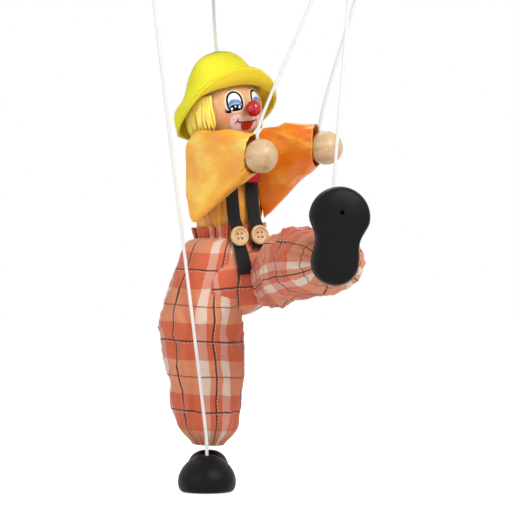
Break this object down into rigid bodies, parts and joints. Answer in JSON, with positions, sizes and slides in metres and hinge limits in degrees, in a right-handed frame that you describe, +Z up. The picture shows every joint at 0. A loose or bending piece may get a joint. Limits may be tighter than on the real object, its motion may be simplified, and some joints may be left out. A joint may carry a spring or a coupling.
{
  "type": "clown marionette",
  "caption": "Wooden string puppet of a clown in a felt hat, satin shirt and plaid trousers, hung by strings from a crossed-stick control that moves its head, arms and legs.",
  "frame": {"origin": "The middle of the top face of the long control stick, where the hand holds it.", "axes": "+Z up, +X to the viewer's right, -Y towards the viewer. The figure hangs below the origin and faces -Y, turned about 32 degrees to the viewer's right."},
  "size_m": [0.1578, 0.1715, 0.3623],
  "materials": {
    "stick": "plain sanded wood",
    "steel": "bright wire",
    "string": "white braided cord",
    "wood": "clear satin varnish",
    "satin": "orange satin",
    "satin_light": "golden satin",
    "ribbon": "red ribbon",
    "strap": "black flat tape",
    "plaid": "plaid cotton, orange and cream with thin dark lines",
    "red_paint": "gloss red paint on wood",
    "hair": "pale yellow strands",
    "felt": "soft yellow felt",
    "black_paint": "satin black paint on wood"
  },
  "bodies": {
    "control": {"control_long_bar": "stick", "control_short_bar": "stick", "control_screw": "steel", "head_string": "string", "right_hand_string": "string", "left_hand_string": "string", "right_foot_string": "string", "left_foot_string": "string"},
    "torso": {"torso_block": "wood", "neck_eye_torso": "steel", "right_shoulder_eye": "steel", "left_shoulder_eye": "steel", "right_hip_eye": "steel", "left_hip_eye": "steel", "shirt": "satin", "neck_ribbon": "ribbon", "right_strap": "strap", "left_strap": "strap", "right_button": "wood", "left_button": "wood", "trouser_seat": "plaid"},
    "head": {"head_ball": "wood", "neck_eye_head": "steel", "nose": "red_paint", "hair": "hair", "hat": "felt"},
    "right_arm": {"right_arm_rod": "wood", "right_arm_eye": "steel", "right_hand": "wood", "right_sleeve": "satin_light"},
    "left_arm": {"left_arm_rod": "wood", "left_arm_eye": "steel", "left_hand": "wood", "left_sleeve": "satin"},
    "right_leg": {"right_leg_rod": "wood", "right_leg_eye": "steel", "right_ankle_eye": "steel", "right_trouser_leg": "plaid"},
    "left_leg": {"left_leg_rod": "wood", "left_leg_eye": "steel", "left_ankle_eye": "steel", "left_trouser_leg": "plaid"},
    "right_foot": {"right_shoe": "black_paint", "right_shoe_eye": "steel"},
    "left_foot": {"left_shoe": "black_paint", "left_shoe_eye": "steel"}
  },
  "joints": [
    {"name": "body_turn", "type": "hinge", "parent": "control", "child": "torso", "pos_m": [-0.02948, 0.04169, -0.0063], "axis": [0, 0, 1], "range_deg": [-45, 45], "stiffness_Nm_per_rad": 0.03, "deforming": ["head_string", "right_hand_string", "left_hand_string", "right_foot_string", "left_foot_string"]},
    {"name": "neck_turn", "type": "hinge", "parent": "torso", "child": "head", "pos_m": [-0.01596, 0.0417, -0.12739], "axis": [-0.1564, 0, 0.9877], "range_deg": [-30, 30], "deforming": ["head_string"]},
    {"name": "right_shoulder", "type": "hinge", "parent": "torso", "child": "right_arm", "pos_m": [-0.02986, 0.01925, -0.13396], "axis": [-0.7793, -0.6267, 0], "range_deg": [-45, 40], "deforming": ["right_sleeve", "shirt", "right_hand_string"]},
    {"name": "left_shoulder", "type": "hinge", "parent": "torso", "child": "left_arm", "pos_m": [0.00228, 0.03939, -0.13171], "axis": [-0.588, -0.8089, 0], "range_deg": [-45, 40], "deforming": ["left_sleeve", "shirt", "left_hand_string"]},
    {"name": "right_hip", "type": "hinge", "parent": "torso", "child": "right_leg", "pos_m": [-0.02745, 0.03481, -0.20647], "axis": [-0.999, -0.0007, 0.0445], "range_deg": [-20, 80], "deforming": ["right_trouser_leg", "trouser_seat", "right_foot_string"]},
    {"name": "left_hip", "type": "hinge", "parent": "torso", "child": "left_leg", "pos_m": [-0.00545, 0.04859, -0.20493], "axis": [-0.9042, -0.4271, 0], "range_deg": [-80, 10], "deforming": ["left_trouser_leg", "trouser_seat", "left_foot_string"]},
    {"name": "right_ankle", "type": "hinge", "parent": "right_leg", "child": "right_foot", "pos_m": [-0.03285, 0.0367, -0.3278], "axis": [-0.999, -0.0007, 0.0445], "range_deg": [-30, 30], "deforming": ["right_trouser_leg", "right_foot_string"]},
    {"name": "left_ankle", "type": "hinge", "parent": "left_leg", "child": "left_foot", "pos_m": [0.04645, -0.0613, -0.2036], "axis": [-0.9042, -0.4271, 0], "range_deg": [-30, 30], "deforming": ["left_trouser_leg", "left_foot_string"]}
  ]
}
